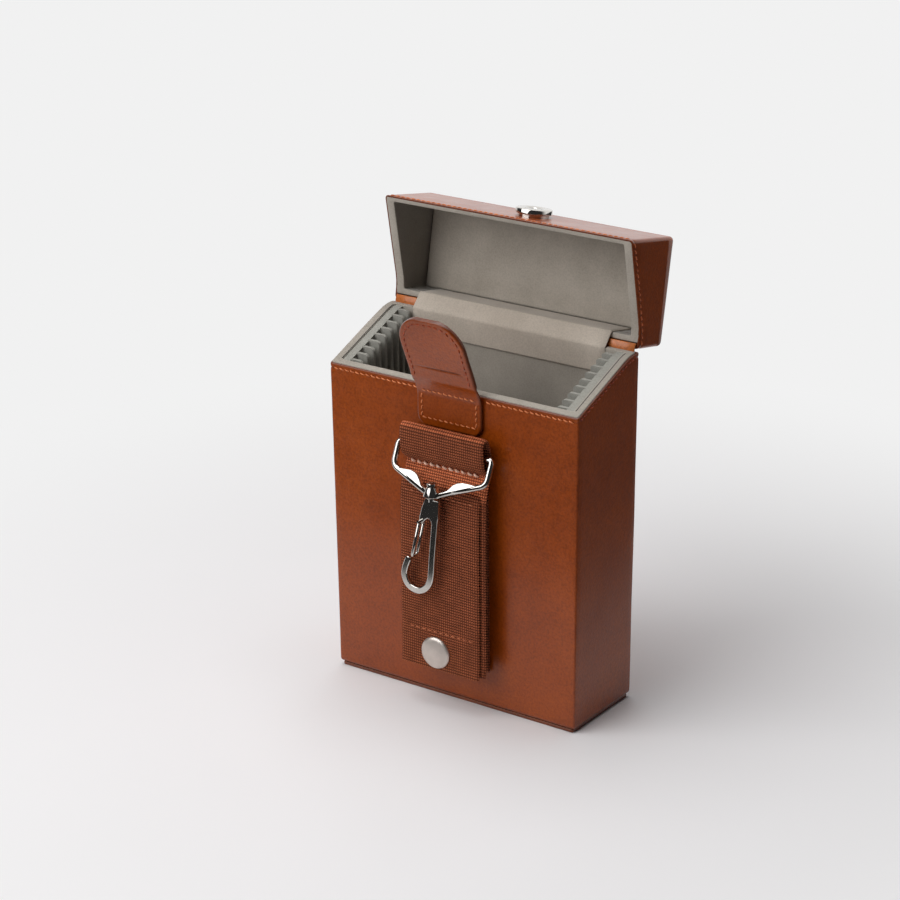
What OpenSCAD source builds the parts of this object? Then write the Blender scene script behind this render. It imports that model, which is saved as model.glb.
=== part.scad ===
// Upright hard case for thin square plates: leather-covered boards, a slanted rim, a hinged
// wedge lid, toothed combs inside, a leather closing tongue with a magnetic snap, and a webbing
// belt loop that carries a swivel hook. Millimetres, +Z up, origin under the middle of the base.
// The lid is drawn open, as far as its taut inner fabric lets it go.

/* [Case] */
// Width of the case over its leather
case_w = 120; // [110:1:140]
// Depth of the case over its leather
case_d = 44.4; // [43:0.1:46]
// Height of the front wall
front_h = 134.6; // [125:0.1:140]
// Height of the back wall
back_h = 149.7; // [147:0.1:153]
// Height of the whole case with its lid shut
closed_h = 172; // [168:0.5:180]
// Thickness of the leather on its backing
leather_t = 1.2; // [1:0.1:1.4]
// Thickness of the lined boards at the front and back
front_board_t = 2.1; // [1.8:0.1:2.4]
// Thickness of the lined boards at the sides
side_board_t = 0.8; // [0.8:0.1:1.2]
// Radius of the upright outer edges
edge_r = 1.5; // [1:0.1:2]
// Height of the grey lined edge above the leather edge
band_rise = 1; // [0.8:0.1:1.1]
// Level stretch of the rim in front of the hinge
rim_flat = 6; // [5:0.5:7]
// Radius where the sloped rim turns level
rim_turn_r = 20; // [12:1:24]
// Thickness of the inset base plate
base_h = 1.5; // [1.2:0.1:2]
// Inset of the base plate from the walls
base_inset = 1.7; // [1.2:0.1:2]

/* [Combs] */
// Number of ribs on each comb
rib_count = 9; // [7:1:9]
// Distance from rib to rib
rib_pitch = 4.13; // [4:0.01:4.15]
// Thickness of a rib
rib_t = 1.6; // [1.2:0.1:1.8]
// Reach of a rib beyond the ledge
rib_reach = 5.5; // [5:0.1:5.8]
// Radius of the rolled top of a rib
rib_round = 1.8; // [1.2:0.1:2.4]
// Width of the ledge behind the ribs
ledge_w = 4.9; // [4.6:0.1:5.2]

/* [Lid] */
// Angle of the open lid from its shut place
open_angle = 101.3; // [95:0.1:105]
// Gap between the leather rims when shut
lid_gap = 0.8; // [0.8:0.1:1]
// Thickness of the lid's lined side boards
lid_side_t = 2.6; // [2.2:0.1:3]
// Radius of the lid's top edges
lid_round = 3; // [2:0.5:3]
// Width of the fabric strip over the hinge
fabric_w = 93; // [80:1:94]
// Diameter of the magnetic snap
magnet_d = 14.2; // [12:0.1:15]
// Height of the magnetic snap on the leather
magnet_h = 3; // [2.4:0.1:3.2]

/* [Tongue] */
// Width of the closing tongue
tongue_w = 30.8; // [26:0.2:32]
// Length of the tongue above its fold
tongue_len = 32.5; // [30:0.5:34]
// Corner radius of the tongue's tip
tongue_tip_r = 13; // [9:0.5:13]
// Lean of the relaxed tongue from upright
tongue_lean = 22; // [18:0.5:26]
// Lean of the neck between the rim and the fold
neck_lean = 36; // [34:0.5:38]

/* [Strap] */
// Width of the webbing
strap_w = 40; // [36:0.5:40]
// Thickness of the webbing
web_t = 1.5; // [1.2:0.1:1.6]
// Height of the bail's bar above the floor
bar_z = 114; // [112:0.5:115]
// Height of the lower end of the flap
flap_low = 16.7; // [16:0.1:17]
// Diameter of the snap's cap
cap_d = 14; // [12:0.5:14]
// Height of the snap above the floor
snap_z = 24.5; // [24:0.1:25]

/* [Hook] */
// Diameter of the bail's wire
wire_d = 2.8; // [2.4:0.1:3]
// Distance between the bail's two arms
bail_w = 45.4; // [44:0.2:46]
// Length of the bail from its bar to its point
bail_len = 17.6; // [17:0.1:18]
// Forward tilt of the bail
bail_tilt = 23.4; // [20:0.2:25]
// Thickness of the hook across its plane
hook_t = 3.2; // [2.8:0.1:3.4]

/* [Hidden] */
$fn = 48;

leather_color = "sienna";
lining_color = "darkgray";
web_color = "brown";
metal_color = "silver";

// Faces of the walls, from the middle of the case outwards
half_w = case_w / 2;
half_d = case_d / 2;
board_x = half_w - leather_t;
board_y = half_d - leather_t;
inner_x = board_x - side_board_t;
inner_y = board_y - front_board_t;
seat_gap = 0.05;

// Heights of the walls and floors
wall_z = base_h;
front_z = wall_z + front_h;
back_z = wall_z + back_h;
floor_board_t = 2;
floor_pad_t = 1.5;
comb_z = wall_z + floor_board_t;

// The rim slopes up to the back, turns on an arc and ends level
rim_corner_y = half_d - rim_flat;
rim_slope = (back_z - front_z) / (rim_corner_y + half_d);
rim_angle = atan(rim_slope);
turn_reach = rim_turn_r * tan(rim_angle / 2);
turn_y0 = rim_corner_y - turn_reach * cos(rim_angle);
turn_y1 = rim_corner_y + turn_reach;
turn_steps = 6;
function rim_z(y) =
    y < turn_y0 ? front_z + rim_slope * (y + half_d) :
    y > turn_y1 ? back_z :
    back_z - rim_turn_r + sqrt(rim_turn_r ^ 2 - (turn_y1 - y) ^ 2);
function rim_line(low, high, rise) = [
    [low, rim_z(low) + rise],
    for (i = [0 : turn_steps])
        let (y = turn_y0 + (turn_y1 - turn_y0) * i / turn_steps)
            if (y > low && y < high) [y, rim_z(y) + rise],
    [high, rim_z(high) + rise],
];
function backwards(p) = [for (i = [len(p) - 1 : -1 : 0]) p[i]];
function below_rim(low, high, bottom, rise) =
    concat([[low, bottom], [high, bottom]], backwards(rim_line(low, high, rise)));
function above_rim(low, high, top, rise) =
    concat(rim_line(low, high, rise), [[high, top], [low, top]]);

// Combs: the ledge is a little lower than the lined edge round it
ledge_rise = band_rise - 0.3;
rib_drop = 0.1;
rib_root = 0.5;
first_rib_y = -inner_y + 1.9;
rib_tip_x = inner_x - ledge_w - rib_reach;

// Lid, described shut and then opened about the hinge behind the back wall
lid_inner_x = board_x - lid_side_t;
hinge_y = half_d + 1.1;
hinge_z = back_z + 1.8;
lid_band_rise = lid_gap + 0.5;
hinge_relief = 0.8;
lid_top_board_t = 2.1;
lid_pad_t = 1.5;
lid_pad_inset = 0.7;
lid_board_z = closed_h - leather_t;
lid_ceiling_z = lid_board_z - lid_top_board_t;
function opened_point(p) =
    let (d = p - [hinge_y, hinge_z], c = cos(open_angle), s = sin(open_angle))
        [hinge_y + d.x * c + d.y * s, hinge_z - d.x * s + d.y * c];

// Hinge: the leather strip at the back, and the fabric that runs from the case into the lid
fabric_t = 0.8;
fabric_y = inner_y - fabric_t / 2 - seat_gap;
fabric_low = back_z - 9.5;
fabric_high = lid_ceiling_z - lid_pad_t - 1.7;
fabric_rise = [fabric_y, back_z + band_rise + 0.4];
fabric_crest = opened_point([fabric_y, back_z + lid_band_rise - 0.2]);
strip_inset = 1.5;
strip_t = 1;

// Tongue: a patch sewn to the front, a neck above it and the flap beyond the fold
tongue_x = -1;
tongue_t = 1.2;
facing_t = 0.9;
patch_t = 1.6;
patch_low = front_z - 16.5;
patch_corner_r = 5;
patch_mid_y = -half_d - patch_t / 2;
neck_len = 6.3;
neck_z = front_z - 0.3;
fold_gap = 0.5;
fold_y = patch_mid_y - neck_len * sin(neck_lean);
fold_z = neck_z + neck_len * cos(neck_lean);

// Magnetic snap: its seat on the lid's front wall and the plate on the tongue that it holds
magnet_x = 1;
magnet_z = front_z + 18.9;
magnet_edge = 0.5;
magnet_hole_r = 2.5;
magnet_hole_depth = 1.8;
washer_r = 6.5;
washer_t = 0.6;
stud_plate_r = 6.5;
stud_plate_t = 0.7;
stud_nose_r = 1.8;
stud_nose_h = 1.2;
stud_v = 13.7;

// Strap: distances in front of the leather, and the layers at the snap
backing_t = 1.8;
backing_low = 17.5;
backing_high = 118.5;
bar_off = 6.2;
bar_y = -half_d - bar_off;
tube_back_off = backing_t + seat_gap + web_t / 2;
tube_pinch_off = tube_back_off + web_t + seat_gap;
tube_low = 102.5;
tube_arc_r = bar_off - tube_back_off;
tube_arc_z = 122.5 - web_t / 2 - tube_arc_r;
flap_off = 8.7;
flap_keys = [[4.7, 102], [7, 95.3], [8.3, 84], [flap_off, 60], [flap_off, 40], [flap_off, flap_low]];
lining_step = web_t + seat_gap;
lining_keys = [[7, 95.3], [8.3, 84], [flap_off, 60], [flap_off, 40], [flap_off, flap_low + 1]];
snap_x = -1;
snap_face_off = flap_off + web_t / 2 + seat_gap;
snap_back_off = flap_off - lining_step - web_t / 2 - seat_gap;
cap_h = 2;
cap_ball_r = (cap_d ^ 2 / 4 + cap_h ^ 2) / (2 * cap_h);
post_r = 2;
rivet_play = 0.1;
socket_r = 5.5;
socket_low_off = backing_t + seat_gap + 0.95;
socket_bore_r = 2.25;
socket_bore_depth = 2.9;
stud_base_r = 6;
stud_base_t = 0.75;
stud_post_r = 1.9;
stud_tip_off = 5.2;
stud_shank_r = 1.7;

// Bail, swivel and hook: the hook hangs upright below the bail's point
wire_r = wire_d / 2;
arm_len = 10.5;
limb_low = 19.4;
bend_swell = 0.06;
gusset_t = 1.2;
gusset_keys = [
    [21, -11], [18, -10.9], [14.5, -11.2], [11.4, -11.8],
    [9.2, -12.9], [7.7, -14.6], [5.8, -16.4], [3, -17.6]];
point_y = bar_y - bail_len * sin(bail_tilt);
point_z = bar_z - bail_len * cos(bail_tilt);
eye_r = 4;
eye_up = 2.2;
eye_down = 3.2;
pin_r = 1.5;
pin_play = 0.08;
pin_head_r = 2.7;
pin_head_h = 2.2;
pin_seat = 3;
pin_seat_r = 1;
head_gap = 0.4;
head_top = -eye_down - head_gap;
head_low = -13.2;
shank_left = -1.3;
shank_right = 1.95;
bend_x = -7.15;
bend_z = -38.2;
bend_r = 9.15;
bend_hole_r = 5.8;
bend_mid_r = (bend_r + bend_hole_r) / 2;
bend_lap = 0.5;
tip_angle = 25;
tip_len = 2.4;
tip_r = (bend_r - bend_hole_r) / 2;
pivot_x = -5.6;
pivot_z = -14.6;
pivot_r = 0.7;
pin_end = 0.8;
pivot_boss_r = 2.1;
gate_r = 0.6;
gate_end_x = -10.7;
gate_end_z = -31.6;
gate_y = hook_t / 2 + 0.3 + gate_r;

// Shape helpers
module rounded_rect(w, d, r) {
    square([w - 2 * r, d], center = true);
    square([w, d - 2 * r], center = true);
    for (x = [-1, 1], y = [-1, 1])
        translate([x * (w / 2 - r), y * (d / 2 - r)]) circle(r);
}
module along_x(width) {
    rotate([90, 0, 90]) translate([0, 0, -width / 2]) linear_extrude(width) children();
}
module along_front(depth) {
    rotate([90, 0, 0]) linear_extrude(depth) children();
}
module slab(x0, x1, y0, y1, z0, z1) {
    translate([x0, y0, z0]) cube([x1 - x0, y1 - y0, z1 - z0]);
}
function unit(v) = v / norm(v);
function side_of(p, i) =
    let (d = unit(p[min(i + 1, len(p) - 1)] - p[max(i - 1, 0)])) [-d.y, d.x];
function ribbon(p, t) = concat(
    [for (i = [0 : len(p) - 1]) p[i] + side_of(p, i) * t / 2],
    [for (i = [len(p) - 1 : -1 : 0]) p[i] - side_of(p, i) * t / 2]);
// A smooth line through hand-picked points
function knot(k, i) = k[max(0, min(i, len(k) - 1))];
function smooth(k, n) = [
    for (i = [0 : len(k) - 2], j = [0 : n - 1])
        let (t = j / n, a = knot(k, i - 1), b = k[i], c = k[i + 1], d = knot(k, i + 2))
            b + (c - a) * t / 2 + (2 * a - 5 * b + 4 * c - d) * t ^ 2 / 2
                + (3 * b - a - 3 * c + d) * t ^ 3 / 2,
    k[len(k) - 1],
];
// Points given as distance in front of the leather and height
function from_front(k) = [for (p = k) [-half_d - p.x, p.y]];
module wire(a, b, r) {
    d = b - a;
    translate(a) rotate([0, acos(d.z / norm(d)), atan2(d.y, d.x)]) cylinder(h = norm(d), r = r);
}
module opened() {
    translate([0, hinge_y, hinge_z]) rotate([-open_angle, 0, 0])
        translate([0, -hinge_y, -hinge_z]) children();
}
module on_tongue() {
    translate([tongue_x, fold_y, fold_z]) rotate([tongue_lean, 0, 0]) children();
}
module on_snap(off) {
    translate([snap_x, -half_d - off, snap_z]) rotate([90, 0, 0]) children();
}
module on_bail() {
    translate([0, bar_y, bar_z]) rotate([-bail_tilt, 0, 0]) children();
}
module on_hook() {
    translate([0, point_y, point_z]) children();
}

// Case
module leather_cover() color(leather_color) intersection() {
    translate([0, 0, wall_z]) linear_extrude(back_h + 1) difference() {
        rounded_rect(case_w, case_d, edge_r);
        square([2 * board_x, 2 * board_y], center = true);
    }
    along_x(case_w + 2) polygon(below_rim(-half_d - 1, half_d + 1, 0, 0));
}
module front_board() color(lining_color) along_x(2 * inner_x)
    polygon(below_rim(-board_y, -inner_y, wall_z, band_rise));
module back_board() color(lining_color) along_x(2 * inner_x)
    polygon(below_rim(inner_y, board_y, wall_z, band_rise));
module side_board() along_x(side_board_t) polygon(below_rim(-board_y, board_y, wall_z, band_rise));
module left_board() color(lining_color) translate([-inner_x - side_board_t / 2, 0, 0]) side_board();
module right_board() color(lining_color) translate([inner_x + side_board_t / 2, 0, 0]) side_board();
module base_plate() color(leather_color) linear_extrude(base_h)
    rounded_rect(case_w - 2 * base_inset, case_d - 2 * base_inset, edge_r);
module floor_board() color(lining_color)
    slab(-inner_x, inner_x, -inner_y, inner_y, wall_z, comb_z);
module floor_pad() color(lining_color) slab(
    -rib_tip_x + seat_gap, rib_tip_x - seat_gap, -inner_y, inner_y, comb_z, comb_z + floor_pad_t);

// Combs: each rib is rounded at its tip and rolls over at its top
module rib_side(height) {
    translate([rib_tip_x + rib_round, 0]) square([rib_reach - rib_round + rib_root, height]);
    translate([rib_tip_x, 0]) square([rib_round + rib_root, height - rib_round]);
    translate([rib_tip_x + rib_round, height - rib_round]) circle(rib_round);
}
module rib_plan() {
    translate([rib_tip_x + rib_t / 2, -rib_t / 2]) square([rib_reach - rib_t / 2 + rib_root, rib_t]);
    translate([rib_tip_x + rib_t / 2, 0]) circle(rib_t / 2);
}
module rib(y) {
    height = rim_z(y) + ledge_rise - rib_drop - comb_z;
    translate([0, y, comb_z]) intersection() {
        linear_extrude(height) rib_plan();
        translate([0, rib_t, 0]) along_front(2 * rib_t) rib_side(height);
    }
}
module comb() {
    translate([inner_x - ledge_w / 2, 0, 0]) along_x(ledge_w)
        polygon(below_rim(-inner_y, inner_y, comb_z, ledge_rise));
    for (i = [0 : rib_count - 1]) rib(first_rib_y + i * rib_pitch);
}
module right_comb() color(lining_color) comb();
module left_comb() color(lining_color) mirror([1, 0, 0]) comb();

// Hinge
module hinge_leather() color(leather_color) slab(
    -half_w + strip_inset, half_w - strip_inset, half_d - strip_t - seat_gap, half_d - seat_gap,
    back_z + seat_gap, opened_point([half_d, back_z + lid_gap]).y - 0.15);
module hinge_fabric() color(lining_color) along_x(fabric_w) polygon(ribbon(smooth([
    [fabric_y, fabric_low],
    [fabric_y, back_z - 3.7],
    fabric_rise,
    (fabric_rise + fabric_crest) / 2,
    fabric_crest,
    opened_point([fabric_y, back_z + lid_band_rise + 5.5]),
    opened_point([fabric_y, fabric_high])], 4), fabric_t));

// Lid
module lid_top_edges(bottom) {
    width = case_w - 2 * lid_round;
    translate([-width / 2, bottom]) square([width, closed_h - bottom]);
    translate([-half_w, bottom]) square([case_w, closed_h - lid_round - bottom]);
    for (x = [-1, 1]) translate([x * width / 2, closed_h - lid_round]) circle(lid_round);
}
module lid_side_edges() difference() {
    polygon(above_rim(-half_d, half_d, closed_h, lid_gap));
    for (y = [-1, 1]) translate([y * (half_d - lid_round), closed_h - lid_round]) difference() {
        translate([min(y, 0) * 2 * lid_round, 0]) square(2 * lid_round);
        circle(lid_round);
    }
}
module lid_outside() intersection() {
    linear_extrude(closed_h + 1) rounded_rect(case_w, case_d, edge_r);
    along_x(case_w + 2) lid_side_edges();
    translate([0, half_d + 1, 0]) along_front(case_d + 2) lid_top_edges(front_z - 1);
}
module lid_cover() color(leather_color) opened() difference() {
    lid_outside();
    slab(-board_x, board_x, -board_y, board_y, 0, lid_board_z);
    slab(-case_w, case_w, board_y - seat_gap, case_d, 0, back_z + lid_gap + hinge_relief);
}
module lid_front_board() color(lining_color) opened() difference() {
    along_x(2 * lid_inner_x) polygon(above_rim(-board_y, -inner_y, lid_board_z, lid_band_rise));
    translate([magnet_x, -board_y + washer_t + seat_gap, magnet_z]) rotate([90, 0, 0])
        cylinder(h = washer_t + 1, r = washer_r + rivet_play);
}
module lid_back_board() color(lining_color) opened() along_x(2 * lid_inner_x)
    polygon(above_rim(inner_y, board_y, lid_board_z, lid_band_rise));
module lid_side_board() along_x(lid_side_t)
    polygon(above_rim(-board_y, board_y, lid_board_z, lid_band_rise));
module lid_left_board() color(lining_color) opened()
    translate([-lid_inner_x - lid_side_t / 2, 0, 0]) lid_side_board();
module lid_right_board() color(lining_color) opened()
    translate([lid_inner_x + lid_side_t / 2, 0, 0]) lid_side_board();
module lid_top_board() color(lining_color) opened()
    slab(-lid_inner_x, lid_inner_x, -inner_y, inner_y, lid_ceiling_z, lid_board_z);
module lid_pad() color(lining_color) opened() slab(
    -lid_inner_x + lid_pad_inset, lid_inner_x - lid_pad_inset, -inner_y + lid_pad_inset,
    inner_y - lid_pad_inset, lid_ceiling_z - lid_pad_t, lid_ceiling_z);
module lid_magnet() color(metal_color) opened()
    translate([magnet_x, -half_d - seat_gap, magnet_z]) rotate([90, 0, 0]) difference() {
        rotate_extrude() polygon([
            [0, 0], [magnet_d / 2, 0], [magnet_d / 2, magnet_h - magnet_edge],
            [magnet_d / 2 - magnet_edge, magnet_h], [0, magnet_h]]);
        translate([0, 0, magnet_h - magnet_hole_depth])
            cylinder(h = magnet_hole_depth + 1, r = magnet_hole_r);
    }
module magnet_washer() color(metal_color) opened()
    translate([magnet_x, -board_y + washer_t, magnet_z]) rotate([90, 0, 0])
        cylinder(h = washer_t - seat_gap, r = washer_r);

// Tongue
module tongue_patch() color(leather_color) {
    translate([tongue_x, -half_d, 0]) along_front(patch_t) {
        translate([-tongue_w / 2, patch_low + patch_corner_r])
            square([tongue_w, front_z - 0.6 - patch_low - patch_corner_r]);
        translate([-tongue_w / 2 + patch_corner_r, patch_low])
            square([tongue_w - 2 * patch_corner_r, patch_corner_r]);
        for (x = [-1, 1])
            translate([x * (tongue_w / 2 - patch_corner_r), patch_low + patch_corner_r])
                circle(patch_corner_r);
    }
    translate([tongue_x, 0, 0]) along_x(tongue_w) polygon(ribbon([
        [patch_mid_y, front_z - 2], [patch_mid_y, neck_z],
        [fold_y + fold_gap * sin(neck_lean), fold_z - fold_gap * cos(neck_lean)]], tongue_t));
}
module tongue_outline(low) {
    translate([-tongue_w / 2, low]) square([tongue_w, tongue_len - tongue_tip_r - low]);
    translate([-tongue_w / 2 + tongue_tip_r, low])
        square([tongue_w - 2 * tongue_tip_r, tongue_len - low]);
    for (x = [-1, 1])
        translate([x * (tongue_w / 2 - tongue_tip_r), tongue_len - tongue_tip_r])
            circle(tongue_tip_r);
}
module tongue_flap() color(leather_color) on_tongue()
    translate([0, tongue_t / 2, 0]) along_front(tongue_t) tongue_outline(fold_gap);
module tongue_facing() color(leather_color) on_tongue()
    translate([0, tongue_t / 2 + facing_t, 0]) along_front(facing_t) tongue_outline(2 * fold_gap);
module tongue_stud() color(metal_color) on_tongue()
    translate([magnet_x - tongue_x, tongue_t / 2 + facing_t, stud_v]) rotate([-90, 0, 0]) {
        cylinder(h = stud_plate_t, r = stud_plate_r);
        cylinder(h = stud_plate_t + stud_nose_h, r = stud_nose_r);
    }

// Strap
module strap_backing() color(web_color) difference() {
    slab(-strap_w / 2, strap_w / 2, -half_d - backing_t, -half_d, backing_low, backing_high);
    on_snap(-1) cylinder(h = backing_t + 2, r = stud_shank_r + rivet_play);
}
module strap_tube() color(web_color) along_x(strap_w) polygon(ribbon(from_front(concat(
    [[tube_back_off, tube_low], [tube_back_off, bar_z]],
    [for (a = [0 : 20 : 180])
        [bar_off - tube_arc_r * cos(a), tube_arc_z + tube_arc_r * sin(a)]],
    smooth([[bar_off + tube_arc_r, tube_arc_z - 4], [bar_off + tube_arc_r - 0.9, bar_z - 4],
        [tube_pinch_off + 0.9, tube_low + 3.2], [tube_pinch_off, tube_low]], 4))), web_t));
module strap_flap() color(web_color) difference() {
    along_x(strap_w) polygon(ribbon(from_front(smooth(flap_keys, 3)), web_t));
    on_snap(0) cylinder(h = 2 * bar_off, r = post_r + rivet_play);
}
module strap_lining() color(web_color) difference() {
    translate([0, lining_step, 0]) along_x(strap_w)
        polygon(ribbon(from_front(smooth(lining_keys, 3)), web_t));
    on_snap(0) cylinder(h = 2 * bar_off, r = post_r + rivet_play);
}
module snap_cap() color(metal_color) {
    on_snap(snap_face_off) intersection() {
        cylinder(h = cap_h, d = cap_d);
        translate([0, 0, cap_h - cap_ball_r]) sphere(cap_ball_r, $fn = 96);
    }
    on_snap(snap_back_off) cylinder(h = snap_face_off - snap_back_off + cap_h / 2, r = post_r);
}
module snap_socket() color(metal_color) on_snap(socket_low_off) difference() {
    cylinder(h = snap_back_off - socket_low_off, r = socket_r);
    translate([0, 0, -1]) cylinder(h = socket_bore_depth + 1, r = socket_bore_r);
}
module snap_stud() color(metal_color) {
    on_snap(seat_gap) cylinder(h = backing_t, r = stud_shank_r);
    on_snap(backing_t + seat_gap) cylinder(h = stud_base_t, r = stud_base_r);
    on_snap(backing_t) cylinder(h = stud_tip_off - backing_t, r = stud_post_r);
}

// Swivel hook
module bail_limb() {
    arm = [bail_w / 2, 0, 0];
    bend = [bail_w / 2, 0, -arm_len];
    wire([0, 0, 0], arm, wire_r);
    wire(arm, bend, wire_r);
    wire(bend, [0, 0, -limb_low], wire_r);
    for (p = [arm, bend]) translate(p) sphere(wire_r + bend_swell);
    translate([0, gusset_t / 2, 0]) along_front(gusset_t)
        polygon(concat(smooth(gusset_keys, 3), [[0, -limb_low]]));
}
module hook_bail() color(metal_color) difference() {
    union() {
        on_bail() bail_limb();
        on_bail() mirror([1, 0, 0]) bail_limb();
        on_hook() translate([0, 0, -eye_down]) cylinder(h = eye_up + eye_down, r = eye_r);
    }
    on_hook() translate([0, 0, -2 * eye_down]) cylinder(h = 4 * eye_down, r = pin_r + pin_play);
}
module swivel_pin() color(metal_color) on_hook() {
    translate([0, 0, head_top - pin_seat]) cylinder(h = 2 * pin_seat, r = pin_seat_r);
    translate([0, 0, head_top]) cylinder(h = eye_up + head_gap - head_top + 1, r = pin_r);
    translate([0, 0, eye_up + head_gap]) cylinder(h = pin_head_h, r = pin_head_r);
}
module hook_head() polygon([
    [-3.9, head_top], [2.7, head_top], [2.7, head_top - 6], [shank_right, head_low],
    [shank_right, bend_z], [shank_left, bend_z], [shank_left, head_low],
    [pivot_x, pivot_z - pivot_boss_r / 2], [pivot_x - pivot_boss_r / 2, pivot_z], [-4.9, head_top - 5.4]]);
module hook_bend() difference() {
    circle(bend_r);
    circle(bend_hole_r);
    polygon([[0, bend_lap], [2 * bend_r, bend_lap], [2 * bend_r, 2 * bend_r], [-2 * bend_r, 2 * bend_r],
        [-2 * bend_r, 2 * bend_r * tan(tip_angle)], [0, 0]]);
}
module hook_tip() {
    translate([bend_mid_r - tip_r, -tip_len]) square([2 * tip_r, tip_len + bend_lap]);
    translate([bend_mid_r, -tip_len]) circle(tip_r);
}
module hook_body() color(metal_color) on_hook() difference() {
    union() {
        translate([0, hook_t / 2, 0]) along_front(hook_t) hook_head();
        translate([pivot_x, hook_t / 2, pivot_z]) along_front(hook_t) circle(pivot_boss_r);
        translate([bend_x, hook_t / 2, bend_z]) along_front(hook_t) hook_bend();
        translate([bend_x, hook_t / 2, bend_z]) along_front(hook_t) rotate(180 - tip_angle) hook_tip();
    }
    translate([pivot_x, hook_t, pivot_z]) along_front(2 * hook_t) circle(pivot_r + rivet_play);
    translate([0, 0, head_top - pin_seat - 0.2]) cylinder(h = 2 * pin_seat, r = pin_seat_r + seat_gap);
}
module hook_gate() color(metal_color) on_hook() {
    for (y = [-gate_y, gate_y])
        wire([pivot_x, y, pivot_z], [gate_end_x, y, gate_end_z], gate_r);
    translate([pivot_x, gate_y + pin_end, pivot_z]) rotate([90, 0, 0])
        cylinder(h = 2 * (gate_y + pin_end), r = pivot_r);
    translate([gate_end_x, gate_y + pin_end, gate_end_z]) rotate([90, 0, 0])
        cylinder(h = 2 * (gate_y + pin_end), r = pivot_r);
}

leather_cover();
front_board();
back_board();
left_board();
right_board();
base_plate();
floor_board();
floor_pad();
left_comb();
right_comb();
hinge_leather();
hinge_fabric();
lid_cover();
lid_front_board();
lid_back_board();
lid_left_board();
lid_right_board();
lid_top_board();
lid_pad();
lid_magnet();
magnet_washer();
tongue_patch();
tongue_flap();
tongue_facing();
tongue_stud();
strap_backing();
strap_tube();
strap_flap();
strap_lining();
snap_cap();
snap_socket();
snap_stud();
hook_bail();
swivel_pin();
hook_body();
hook_gate();
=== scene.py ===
import math

import bmesh
import bpy
from mathutils import Matrix, Vector, noise


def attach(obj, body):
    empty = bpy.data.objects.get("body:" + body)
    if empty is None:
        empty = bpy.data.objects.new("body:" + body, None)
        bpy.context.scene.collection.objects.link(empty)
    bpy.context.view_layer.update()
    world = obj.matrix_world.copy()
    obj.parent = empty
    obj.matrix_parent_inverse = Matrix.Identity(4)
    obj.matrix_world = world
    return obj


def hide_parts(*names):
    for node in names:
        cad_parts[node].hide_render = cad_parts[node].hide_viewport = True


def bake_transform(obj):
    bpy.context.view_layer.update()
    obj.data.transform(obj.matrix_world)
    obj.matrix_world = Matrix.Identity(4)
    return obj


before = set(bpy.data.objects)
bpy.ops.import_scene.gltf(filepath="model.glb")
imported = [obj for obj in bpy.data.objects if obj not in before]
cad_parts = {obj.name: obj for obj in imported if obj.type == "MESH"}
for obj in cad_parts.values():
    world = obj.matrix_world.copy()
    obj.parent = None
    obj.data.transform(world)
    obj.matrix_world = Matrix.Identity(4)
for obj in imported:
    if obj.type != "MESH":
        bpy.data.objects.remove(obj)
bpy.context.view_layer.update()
scene = bpy.context.scene
MM = 0.001

# Sizes of the case, in millimetres, as in the CAD model
HALF_W, HALF_D = 60.0, 22.2
WALL_Z, FRONT_Z, BACK_Z, TOP_Z = 1.5, 136.1, 151.2, 172.0
RIM_FLAT, RIM_TURN = 6.0, 20.0
HINGE = Vector((0, 23.3, 153.0))
OPEN = Matrix.Rotation(math.radians(-101.3), 3, "X")
TONGUE_X, FOLD_Y, FOLD_Z, TONGUE_LEAN = 0.45, -26.703, 140.897, math.radians(22)
BAR_Y, BAR_Z, BAIL_TILT = -28.4, 114.0, math.radians(23.4)
SNAP_X, SNAP_Z = -1.0, 24.5
MAGNET_X, MAGNET_Z = 2.6, 155.0
# Middle of the swivel, at the bail's point
SWIVEL = Vector((0, -35.39, 97.848))

# Heights above the rim of the leather's edge and of the grey band, on the case and on the lid
EDGE, BAND, LID_EDGE, LID_BAND = 0.85, 1.25, 1.4, 1.36
# Leather stands out further from the boards towards the top: half width, front and back
LOW, HIGH, LID = (59.8, 21.65, 21.5), (61.1, 22.0, 22.55), (60.5, 21.3, 23.6)
# Inside faces of the linings, the floor's top and the lid's ceiling
CASE_IN_X, LID_IN_X, FRONT_IN, BACK_IN = 56.8, 56.2, 18.9, 18.6
FLOOR_TOP, CEILING = 3.6, 168.6
# Webbing, from rib to rib and from yarn to yarn
RIB, YARN = 1.16, 1.06

CORNER_Y = HALF_D - RIM_FLAT
SLOPE = (BACK_Z - FRONT_Z) / (CORNER_Y + HALF_D)
TURN_REACH = RIM_TURN * math.tan(math.atan(SLOPE) / 2)
TURN_0 = CORNER_Y - TURN_REACH * math.cos(math.atan(SLOPE))
TURN_1 = CORNER_Y + TURN_REACH


def lerp(a, b, t):
    return a + (b - a) * t


def ease(t):
    t = min(max(t, 0.0), 1.0)
    return t * t * (3 - 2 * t)


def even_steps(a, b, count):
    return [lerp(a, b, i / count) for i in range(count + 1)]


def unit(degrees):
    w = math.radians(degrees)
    return math.cos(w), math.sin(w)


def rim(y):
    """Height of the case's leather edge at depth y."""
    if y < TURN_0:
        return FRONT_Z + SLOPE * (y + HALF_D)
    if y > TURN_1:
        return BACK_Z
    return BACK_Z - RIM_TURN + math.sqrt(RIM_TURN ** 2 - (TURN_1 - y) ** 2)


def lid_rim(y):
    """Height of the shut lid's leather edge, beside its grey band."""
    return rim(y) + LID_EDGE


def spread(x, y, sizes):
    """A point of the CAD outline, moved out to the leather's own half width, front and back."""
    return (x * sizes[0] / HALF_W, y * (sizes[1] if y < 0 else sizes[2]) / HALF_D)


def case_sizes(z):
    t = (z - WALL_Z) / (lerp(FRONT_Z, BACK_Z, 0.5) - WALL_Z)
    return [lerp(a, b, t) for a, b in zip(LOW, HIGH)]


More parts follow.
